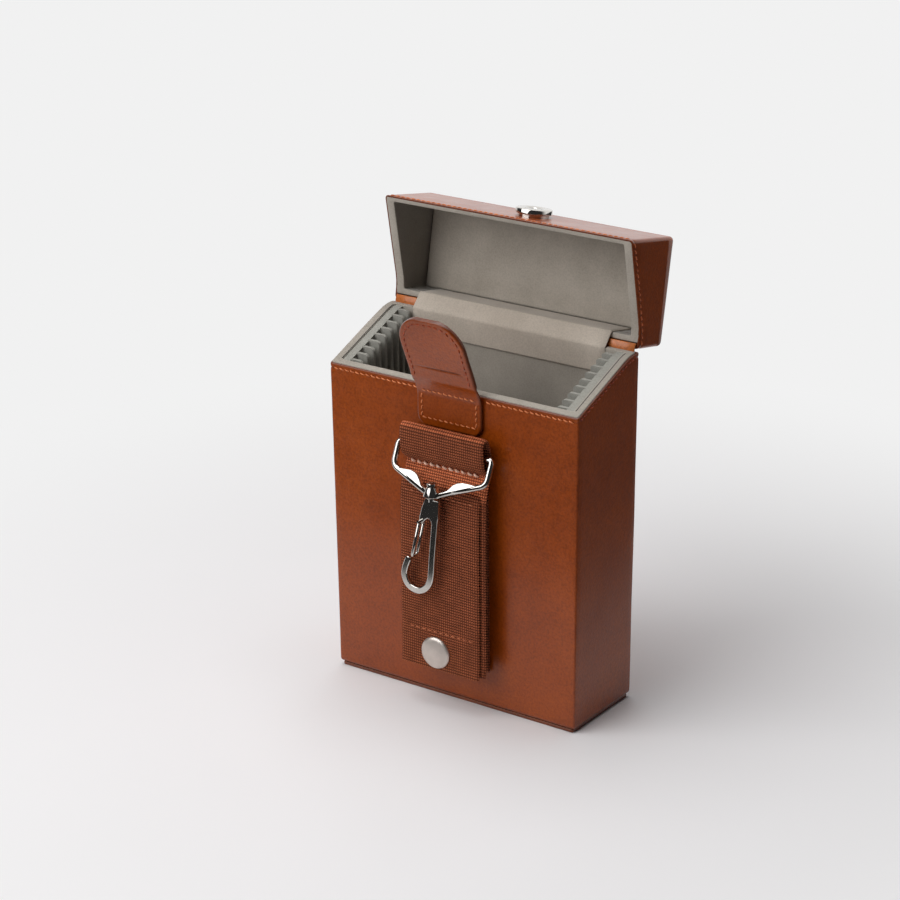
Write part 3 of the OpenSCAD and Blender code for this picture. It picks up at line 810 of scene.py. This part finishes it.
strip_path = smooth_line([(21.65, 149.6), (21.65, 151.2), (21.85, 152.6), (22.3, 154.0), (22.95, 155.1)], 6)
back_strip = strip("hinge_strip", strip_path, half_w=59.0, thick=0.95, mat=hinge_lit_brown, columns=20, step=0.5)
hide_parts("hinge_leather")
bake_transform(back_strip)


# Closing tongue: a sewn patch, a neck and the flap, in one bent sheet
UP = Vector((0, -math.sin(TONGUE_LEAN), math.cos(TONGUE_LEAN)))
FRONT = Vector((0, -math.cos(TONGUE_LEAN), -math.sin(TONGUE_LEAN)))
FOLD = Vector((0, FOLD_Y, FOLD_Z))
PATCH_Y, PATCH_LOW, FLAP_LEN, TONGUE_HALF, TIP_R, PATCH_R = -23.8, 120.2, 32.5, 15.7, 13.0, 5.0
PATCH_T, NECK_T, FACING_T, ROUNDED = 1.55, 1.2, 0.9, 0.7
CREASE_UP, CREASE_DEEP, CREASE_WIDE = 7.6, 0.36, 0.3


def on_flap(v, out):
    p = FOLD + UP * v + FRONT * out
    return (p.y, p.z)


tongue_keys = [(PATCH_Y, PATCH_LOW), (PATCH_Y, 125), (PATCH_Y, 130.0), (-23.84, 133.0), (-24.25, 135.2),
               (-25.2, 137.6), (-26.35, 139.8), on_flap(1.5, 0.62), on_flap(5.5, 0.6), on_flap(12, 0.6),
               on_flap(19, 0.65), on_flap(26, 0.6), on_flap(FLAP_LEN, 0.5)]
tongue_line, tongue_at = spaced([Vector((0, y, z)) for y, z in smooth_line(tongue_keys, 10)], 0.4)
tongue_end = tongue_at[-1]
fold_s = next(s for p, s in zip(tongue_line, tongue_at) if p.z > FOLD_Z - 0.4)
crease_at = FOLD + UP * CREASE_UP + FRONT * 0.6
crease_s = min(zip(tongue_line, tongue_at), key=lambda pair: (pair[0] - crease_at).length)[1]


def round_end(s, radius):
    """Half width of the tongue at distance s from a round end."""
    gap = radius - min(s, radius)
    return TONGUE_HALF - radius + math.sqrt(max(radius ** 2 - gap ** 2, 0))


def tongue_frame(s):
    """Outer face point and outward direction at distance s along the tongue."""
    i = min(range(len(tongue_at)), key=lambda k: abs(tongue_at[k] - s))
    i = max(min(i, len(tongue_line) - 2), 1)
    t = heading(tongue_line, i)
    return tongue_line[i], Vector((0, -t.z, t.y))


def tongue_bow(s, x):
    """The flap's sides bend forward a little."""
    return 0.3 * (x - TONGUE_X) ** 2 / TONGUE_HALF ** 2 * ease((s - fold_s - 4) / 12)


half_cols = 14
across = [math.sin(math.pi / 2 * (i / half_cols)) for i in range(-half_cols, half_cols + 1)]
tongue_loop = [(u, 0) for u in across] + [(1.0, 0.5)] + [(u, 1) for u in reversed(across)] + [(-1.0, 0.5)]
verts, shade_and_edge_dark = [], []
for s in tongue_at:
    p, n = tongue_frame(s)
    half = min(round_end(s, PATCH_R), round_end(tongue_end - s, TIP_R))
    thick = lerp(PATCH_T, NECK_T, ease((s - 14) / 4)) + FACING_T * ease((s - fold_s - 0.4) / 1.6)
    end = min(s, tongue_end - s)
    for u, side in tongue_loop:
        edge = max(0.0, 1 - (1 - abs(u)) * half / ROUNDED, 1 - end / ROUNDED)
        soft = 0.42 * edge ** 2
        x = TONGUE_X + u * half + (math.copysign(0.15, u) if side == 0.5 else 0.0)
        # The crease fades towards the tongue's sides, and is fainter on the left
        crease = CREASE_DEEP * math.exp(-((s - crease_s) / CREASE_WIDE) ** 2)
        crease *= ease((11.8 - abs(x + 0.2)) / 1.2) * lerp(0.45, 1.0, ease((x + 11) / 12))
        depth = {0: soft + crease, 0.5: thick / 2, 1: thick - soft}[side]
        q = p - n * (depth - tongue_bow(s, x))
        verts.append((x, q.y, q.z))
        # Darker share: the edges' own darker paint, partly painted shade, and painted shade in the crease
        shade_and_edge_dark.append(min(1.0, 0.6 * ease(edge * 1.3) + (0.8 if side == 0.5 else 0.0) + crease * 2.6))
tongue = build("tongue_sheet", verts, capped(len(tongue_at), len(tongue_loop)), brown, shade_and_edge_dark)
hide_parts("tongue_patch", "tongue_flap", "tongue_facing")
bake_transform(tongue)


def tongue_point(s, x, lift=0.0):
    p, n = tongue_frame(s)
    q = p + n * (tongue_bow(s, x) + lift)
    return (Vector((x, q.y, q.z)), n)


# Sewn rows
ROW, FACE = 1.75, Vector((0, -1, 0))
SEW_Z, SEW_BACK = FRONT_Z + EDGE - ROW, BACK_Z + EDGE - ROW
LID_SEW_Z, LID_SEW_BACK = FRONT_Z + LID_EDGE + ROW, BACK_Z + LID_EDGE + ROW
SEW_FRONT_X, SEW_BACK_X = 58, 57
PATCH_SIDE, PATCH_SEW, PATCH_ROW, NECK_ROW = TONGUE_HALF + 0.6, TONGUE_HALF - 2.35, 123.8, 134.2


def wall_run(x0, x1, y, z, n):
    return straight(on_wall(x0, y, z), on_wall(x1, y, z), n)


rim_runs = [wall_run(-SEW_FRONT_X, TONGUE_X - PATCH_SIDE, -HALF_D, SEW_Z, FACE),
            wall_run(TONGUE_X + PATCH_SIDE, SEW_FRONT_X, -HALF_D, SEW_Z, FACE),
            wall_run(SEW_BACK_X, -SEW_BACK_X, HALF_D, SEW_BACK, -FACE)]
side_runs = []
depths = even_steps(-21, 21, 28)
for side in (-1, 1):
    side_runs.append([(Vector(on_wall(side * HALF_W, y, rim(y) + EDGE - ROW)), Vector((side, 0, 0)))
                      for y in depths[::side]])
    column = TONGUE_X + side * PATCH_SEW
    rim_runs.append(straight((column, PATCH_Y, PATCH_ROW), (column, PATCH_Y, NECK_ROW), FACE))
rim_runs.append(straight((TONGUE_X - PATCH_SEW, PATCH_Y, PATCH_ROW),
                         (TONGUE_X + PATCH_SEW, PATCH_Y, PATCH_ROW), FACE))
place(stitches("rim_stitches", rim_runs, rim_thread), "case", "leather")
# The sides' rows use the darker tongue thread as painted shade
place(stitches("side_stitches", side_runs, tongue_and_shaded_side_thread), "case", "leather")

neck_run = [tongue_point(15.6, TONGUE_X + x) for x in even_steps(-PATCH_SIDE, PATCH_SIDE, 10)]
place(stitches("neck_stitches", [neck_run[1:-1]], rim_thread), "case", "leather")


def lid_run(points, n):
    """A run on the shut lid's leather, where it is with the lid open."""
    return [(opened((*spread(x, y, LID), z)), OPEN @ Vector(n)) for x, y, z in points]


lid_runs = [lid_run([(x, -HALF_D, LID_SEW_Z) for x in (-SEW_FRONT_X, SEW_FRONT_X)], FACE),
            lid_run([(x, HALF_D, LID_SEW_BACK) for x in (SEW_BACK_X, -SEW_BACK_X)], -FACE)]
lid_side_runs = [lid_run([(side * HALF_W, y, lid_rim(y) + ROW) for y in depths[::side]], (side, 0, 0))
                 for side in (-1, 1)]
place(stitches("lid_stitches", lid_runs, rim_thread, slant=15.0), "lid", "leather")
place(stitches("lid_side_stitches", lid_side_runs, lid_side_shaded_thread, slant=15.0), "lid", "leather")

INSET = 2.3
flap_run = []
for s in even_steps(fold_s + 2.5, tongue_end - INSET, 60):
    reach = min(tongue_end - s, TIP_R)
    w = TONGUE_HALF - TIP_R + math.sqrt(max((TIP_R - INSET) ** 2 - (TIP_R - reach) ** 2, 0))
    flap_run.append((s, w))
left = [tongue_point(s, TONGUE_X - w, 0.02) for s, w in flap_run]
right = [tongue_point(s, TONGUE_X + w, 0.02) for s, w in reversed(flap_run)]
place(stitches("tongue_stitches", [left + right], tongue_and_shaded_side_thread, pitch=2.8, length=2.2, radius=0.26, slant=-6),
      "tongue", "leather")


# Webbing belt loop: a long piece that makes the tube and the lining, an outer layer and a backing
STRAP_X, WEB_T, SCALLOP = 1.4, 1.3, 2.0


def web_rib(s):
    """Height of a rib and the share of painted shade in the valley beside it."""
    crown = abs(math.sin(math.pi * s / RIB)) ** 0.7
    return 0.34 * (crown - 0.5), min(1.0, 1.3 * (1 - crown))


def webbing_strip(name, keys, half_w, middle):
    """A strip of webbing through keys of (distance out from the front, height)."""
    path = smooth_line([(-HALF_D - out, z) for out, z in keys], 6)
    return strip(name, path, half_w, WEB_T, web_brown, columns=26, step=RIB / 6, rib=web_rib,
                 scallop=SCALLOP, middle=middle)


loop_keys = [(2.4, 106.5), (2.7, 112), (3.6, 117.4), (4.7, 120.2), (5.6, 121.3), (6.6, 121.7), (7.6, 121.4),
             (8.3, 120.3), (8.6, 118.6), (8.5, 114), (8.0, 111), (7.35, 109.4), (6.4, 108.2), (5.3, 107.3),
             (4.2, 106.5), (3.9, 105.6), (4.3, 103.8), (5.2, 101), (6.3, 97.6), (6.8, 94), (7.0, 86),
             (7.15, 74), (7.15, 42), (7.17, 26), (7.35, 20.5), (7.6, 18.2)]
loop_web = webbing_strip("strap_loop", loop_keys, 20.0, STRAP_X)
# Painted highlight: the webbing is lightened at the pinch and over the tube's fold, where light falls on it
painted_highlight = loop_web.data.attributes.new("highlight_share", "FLOAT", "POINT")
for v, share in zip(loop_web.data.vertices, painted_highlight.data):
    out, up = -v.co.y / MM - HALF_D, v.co.z / MM
    pinch = ease((106.6 - up) / 1.5) * ease((up - 94) / 4)
    fold = 0.6 * ease((up - 120.9) / 0.8) * ease((out - 5) / 1.0)
    share.value = max(pinch, fold)
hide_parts("strap_tube", "strap_lining")
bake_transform(loop_web)

outer_keys = [(6.9, 97.4), (7.7, 95.6), (8.25, 92), (8.6, 84), (8.7, 70), (8.7, 42), (8.72, 26), (8.9, 20.5),
              (9.3, 16.9)]
back_keys = [(0.7, 17.6), (0.8, 60), (0.95, 118.4)]
place(webbing_strip("strap_outer", outer_keys, 19.0, 0.25), "flap", "webbing", "strap_flap")
place(webbing_strip("strap_back", back_keys, 18.6, 0.0), "case", "webbing", "strap_backing")


def strap_run(out, z, x0, x1):
    return straight((STRAP_X + x0, -HALF_D - out, z), (STRAP_X + x1, -HALF_D - out, z), FACE)


low_runs = [strap_run(9.5, 33.9, -16.5, 15.8), strap_run(9.05, 94.0, -18.5, 16)]
place(stitches("strap_stitches_low", low_runs, strap_thread, pitch=2.9, length=2.2, radius=0.28, slant=-4),
      "flap", "webbing")
high_runs = [strap_run(5.3, 105.6, -17.8, 16.3)]
place(stitches("strap_stitches_high", high_runs, pale_thread, pitch=3.1, length=2.4, radius=0.62, slant=-22),
      "case", "webbing")


# Snap of the strap
cap_profile = [(0, -0.4), (6.6, -0.4), (6.95, -0.1), (7.0, 0.35), (6.85, 0.75), (6.4, 1.1), (5.6, 1.35),
               (4.0, 1.62), (2.0, 1.82), (0, 1.9)]
cap_at = facing((SNAP_X - 0.7, -HALF_D - 9.45, SNAP_Z), FACE)
place(lathe("snap_disc", cap_profile, cap_at, satin_nickel), "flap", "nickel", "snap_cap")

# Magnetic snap: seat on the lid and plate on the tongue
seat_profile = [(0, 0), (6.6, 0), (6.6, 1.0), (7.4, 1.2), (7.65, 1.5), (7.65, 2.9), (7.5, 3.2), (7.0, 3.45),
                (6.3, 3.55), (3.6, 3.55), (3.3, 3.4), (2.9, 3.3), (2.5, 3.0), (2.3, 1.2), (0, 1.0)]
seat_at = facing(opened((MAGNET_X, -LID[1] + 0.1, MAGNET_Z)), OPEN @ FACE)
place(lathe("magnet_seat", seat_profile, seat_at, nickel), "lid", "nickel", "lid_magnet")
stud_profile = [(0, -0.2), (6.5, -0.2), (6.5, 0.35), (6.2, 0.62), (5.6, 0.7), (2.2, 0.7), (1.85, 0.85),
                (1.8, 1.55), (1.5, 1.82), (0, 1.9)]
stud_p = FOLD + UP * 13.7 - FRONT * 1.5
stud_at = facing((TONGUE_X, stud_p.y, stud_p.z), -FRONT)
place(lathe("tongue_plate", stud_profile, stud_at, nickel), "tongue", "nickel", "tongue_stud")


# Swivel hook: a wire bail with two leaves and an eye, as offsets from the middle of its bar
DOWN = Vector((0, -math.sin(BAIL_TILT), -math.cos(BAIL_TILT)))
OUT = Vector((0, -math.cos(BAIL_TILT), math.sin(BAIL_TILT)))
BAR = Vector((STRAP_X + 0.45, BAR_Y, BAR_Z + 0.2))
WIRE_R, LEAF_T, HOOK_T, HOOK_HALF = 1.25, 2.3, 2.2, 1.4


def on_bail(x, s, out=0.0):
    return BAR + Vector((x, 0, 0)) + DOWN * s + OUT * out


bail_corners = [(1.0, 19.3), (22.6, 10.5), (22.9, 0.3), (-22.8, 0), (-22.8, 11.2), (-3.6, 19.0)]
bail_path = filleted([on_bail(x, s) for x, s in bail_corners], [4.0, 1.5, 2.4, 4.0])
bail_wire = sweep("bail_wire", bail_path, WIRE_R, nickel, 16)


def on_leaf(c):
    """Leaves lean back from the wire that carries them."""
    wire_s = 11.7 + 0.411 * (c[0] + 21.5) if c[0] < 0 else 18.8 - 0.415 * (c[0] - 2.6)
    return on_bail(c[0], c[1], c[2] - 0.04 * (wire_s - c[1]))


left_leaf = [(-20.6, 11.5), (-18.5, 11.75), (-15.8, 11.5), (-13.6, 11.45), (-11.3, 12.0), (-9.6, 13.0),
             (-8.2, 14.6), (-7.2, 16.2), (-5.8, 17.3), (-4.4, 17.9), (-4.0, 18.9), (-12.0, 15.7), (-20.0, 12.4)]
right_leaf = [(20.2, 11.0), (18.2, 11.45), (15.4, 11.4), (12.2, 11.4), (9.7, 12.1), (7.8, 13.3), (6.6, 14.9),
              (5.6, 16.0), (3.9, 17.0), (2.3, 17.7), (1.6, 19.1), (10.0, 15.7), (19.5, 11.8)]
for name, outline in (("bail_leaf_left", left_leaf), ("bail_leaf_right", right_leaf[::-1])):
    piece = plate(name, outline, LEAF_T, on_leaf, nickel)
    piece.parent = bail_wire
eye_profile = [(1.58, -1.8), (2.2, -2.1), (3.3, -2.1), (3.7, -1.7), (3.65, -1.3), (2.35, 1.4), (2.1, 1.9),
               (1.58, 1.9)]
eye = lathe("bail_eye", eye_profile, Matrix.Translation(SWIVEL), nickel)
eye.parent = bail_wire
place(bail_wire, "bail", "nickel", "hook_bail")

rivet_profile = [(0, -4.6), (1.5, -4.6), (1.5, 2.15), (1.9, 2.15), (2.1, 2.4), (2.1, 3.2), (1.9, 3.6),
                 (1.3, 3.8), (0, 3.85)]
rivet = lathe("swivel_rivet", rivet_profile, Matrix.Translation(SWIVEL), nickel)
place(rivet, "hook", "nickel", "swivel_pin")

# The hook is one flat bar, with a wider plate round its swivel and gate, as offsets from the swivel
hook_keys = [(2.0, -11.0), (1.6, -13.6), (0.75, -21.6), (-0.05, -29.7), (-0.6, -36.4), (-1.4, -40.3),
             (-3.4, -43.2), (-6.6, -45.0), (-10.1, -44.7), (-12.8, -42.8), (-14.0, -39.5), (-13.6, -36.6),
             (-12.8, -34.2), (-12.0, -32.3)]
hook_line = smooth_line([(x, 0, z) for x, z in hook_keys], 7)
outer, inner = [], []
for i, p in enumerate(hook_line):
    way = heading(hook_line, i)
    side = Vector((-way.z, 0, way.x)) * HOOK_HALF
    outer.append(p + side)
    inner.append(p - side)
for bend in range(20, 180, 20):
    c, s = unit(bend)
    outer.append(hook_line[-1] + side * c + way * (HOOK_HALF * s))
hook_outline = [(-2.9, -3.4), (3.8, -3.4), (3.5, -9.0)] + [(p.x, p.z) for p in outer]
hook_outline += [(p.x, p.z) for p in reversed(inner) if p.z < -14.2]
hook_outline += [(-0.1, -13.0), (-0.8, -12.2), (-1.6, -12.0), (-2.8, -12.8), (-4.0, -14.3), (-4.8, -15.2),
                 (-5.7, -15.1), (-6.1, -14.0), (-5.7, -11.6), (-4.6, -7.6), (-3.5, -5.2)]


def hook_space(c):
    return SWIVEL + Vector((c[0], -c[2], c[1]))


hook = plate("hook_shank", hook_outline[::-1], HOOK_T, hook_space, nickel)
place(hook, "hook", "nickel", "hook_body")

GATE_Y, GATE_R = 1.8, 0.65
gate_pivot, gate_tip = SWIVEL + Vector((-5.3, 0, -13.9)), SWIVEL + Vector((-9.15, 0, -30.2))
apart = Vector((0, GATE_Y, 0))
gate_corners = [gate_pivot - apart, gate_tip - apart, gate_tip + apart, gate_pivot + apart]
gate = sweep("gate_wire", filleted(gate_corners, [1.4, 1.4]), GATE_R, nickel, 12)
pin_profile = [(0, -2.7), (GATE_R, -2.6), (GATE_R, 2.6), (0, 2.7)]
pin = lathe("gate_pin", pin_profile, facing(gate_pivot, (0, 1, 0)), nickel, 16)
pin.parent = gate
place(gate, "gate", "nickel", "hook_gate")

# Solids that stay as they are, with their own finish
finishes = {"floor_board": lining_grey, "lid_top_board": lining_grey, "left_comb": comb_grey,
            "right_comb": comb_grey, "snap_stud": nickel, "snap_socket": nickel, "magnet_washer": nickel}
for name, finish in finishes.items():
    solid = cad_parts[name]
    solid.data.materials.clear()
    solid.data.materials.append(finish)


# Floor: pale, with the object's shadow near it, and a painted dark reflection in front of and beside the case
def seen_by(tree, *kinds):
    """1 for rays of these kinds, else 0."""
    path = add(tree, "ShaderNodeLightPath")
    total = path.outputs[kinds[0]]
    for kind in kinds[1:]:
        total = math_of(tree, "MAXIMUM", total, path.outputs[kind])
    return total


def stretch(tree, value, low, high, to_low=0.0, to_high=1.0):
    n = add(tree, "ShaderNodeMapRange", interpolation_type="SMOOTHSTEP")
    feed(tree, n.inputs, (value, low, high, to_low, to_high))
    return n.outputs[0]


def glow(tree, value):
    return add(tree, "ShaderNodeEmission", Color=grey(value), Strength=1.0).outputs[0]


def mix_shader(tree, fac, a, b):
    n = add(tree, "ShaderNodeMixShader")
    feed(tree, n.inputs, (fac, a, b))
    return n.outputs[0]


PALE, DARK_ROOM, FLOOR = 0.88, 0.03, 4.0
floor_finish, tree, bsdf = material("studio_floor")
where = place_of(tree)
tone = ramp(tree, noise_of(tree, where, 3.0), (0.3, linear(248, 246, 247)), (0.7, linear(251, 249, 250)))
dress(tree, bsdf, Base_Color=tone, Roughness=0.8, Specular_IOR_Level=0.1)
away = add(tree, "ShaderNodeVectorMath", operation="LENGTH")
tree.links.new(where, away.inputs[0])
far = stretch(tree, away.outputs["Value"], 0.11, 0.4)
x_axis, y_axis, _ = axes_of(tree, where)
# Painted reflection: glossy rays see the floor dark in front of and beside the case, though it is lit there
ahead = stretch(tree, y_axis, -0.135, -0.152)
near = stretch(tree, y_axis, -0.03, -0.07, 0.0, 0.15)
beside = stretch(tree, x_axis, 0.07, 0.16)
dark_reflection_mask = math_of(tree, "MAXIMUM", math_of(tree, "MAXIMUM", ahead, near), beside)
plain_view = seen_by(tree, "Is Camera Ray", "Is Glossy Ray", "Is Transmission Ray")
shader = mix_shader(tree, math_of(tree, "MULTIPLY", far, plain_view), bsdf.outputs[0], glow(tree, PALE))
dark_reflection_share = math_of(tree, "MULTIPLY", dark_reflection_mask, seen_by(tree, "Is Glossy Ray"))
shader = mix_shader(tree, dark_reflection_share, shader, glow(tree, DARK_ROOM))
dress(tree, tree.nodes["Material Output"], Surface=shader)
floor_mesh = bpy.data.meshes.new("floor")
floor_corners = [(-FLOOR, -FLOOR, 0), (FLOOR, -FLOOR, 0), (FLOOR, FLOOR, 0), (-FLOOR, FLOOR, 0)]
floor_mesh.from_pydata(floor_corners, [], [(0, 1, 2, 3)])
floor_mesh.materials.append(floor_finish)
floor = bpy.data.objects.new("floor", floor_mesh)
scene.collection.objects.link(floor)

# Light: a pale backdrop behind, an unlit room in front, and two soft lamps
world = bpy.data.worlds.new("studio")
scene.world = world
world.use_nodes = True
tree = world.node_tree
fill = tree.nodes["Background"]
dress(tree, fill, Color=(0.95, 0.98, 1.0, 1), Strength=0.03)
around = axes_of(tree, add(tree, "ShaderNodeTexCoord").outputs["Generated"])
backdrop = add(tree, "ShaderNodeBackground")
dress(tree, backdrop, Color=grey(1.0), Strength=stretch(tree, around[1], -0.15, 0.5, DARK_ROOM, 1.0))
plain = add(tree, "ShaderNodeBackground", Color=grey(PALE), Strength=1.0)
shader = mix_shader(tree, seen_by(tree, "Is Glossy Ray", "Is Transmission Ray"),
                    fill.outputs[0], backdrop.outputs[0])
shader = mix_shader(tree, seen_by(tree, "Is Camera Ray"), shader, plain.outputs[0])
dress(tree, tree.nodes["World Output"], Surface=shader)


def lamp(name, at, target, size, power):
    data = bpy.data.lights.new(name, "AREA")
    data.shape = "RECTANGLE"
    data.size = data.size_y = size
    data.energy = power
    obj = bpy.data.objects.new(name, data)
    obj.location = at
    obj.rotation_euler = (Vector(target) - Vector(at)).to_track_quat("-Z", "Y").to_euler()
    scene.collection.objects.link(obj)


lamp("key", (-0.52, -0.94, 0.89), (0, 0, 0.08), 1.2, 12.4)
lamp("top", (-0.18, 0.1, 1.3), (0, 0, 0.1), 1.0, 9.8)

# Camera at the photo's place
PHOTO_SIZE, SENSOR = 900, 36.0
AZ, EL, ROLL = math.radians(35.536), math.radians(20.923), math.radians(-0.581)
FOCAL, SHIFT_X, SHIFT_Y, DIST = 2755.2, 14.122, -96.073, 1169.4
back = Vector((math.sin(AZ) * math.cos(EL), -math.cos(AZ) * math.cos(EL), math.sin(EL)))
level = Vector((math.cos(AZ), math.sin(AZ), 0))
upright = back.cross(level)
right_dir = level * math.cos(ROLL) + upright * math.sin(ROLL)
up_dir = upright * math.cos(ROLL) - level * math.sin(ROLL)
centre = right_dir * -SHIFT_X + up_dir * -SHIFT_Y + back * DIST + Vector((0, 0, WALL_Z))
camera = bpy.data.cameras.new("camera")
camera.sensor_width = SENSOR
camera.lens = FOCAL / PHOTO_SIZE * SENSOR
camera_obj = bpy.data.objects.new("camera", camera)
camera_obj.matrix_world = (Matrix.Translation(centre * MM)
                           @ Matrix((right_dir, up_dir, back)).transposed().to_4x4())
scene.collection.objects.link(camera_obj)
scene.camera = camera_obj
scene.view_settings.view_transform = "Standard"
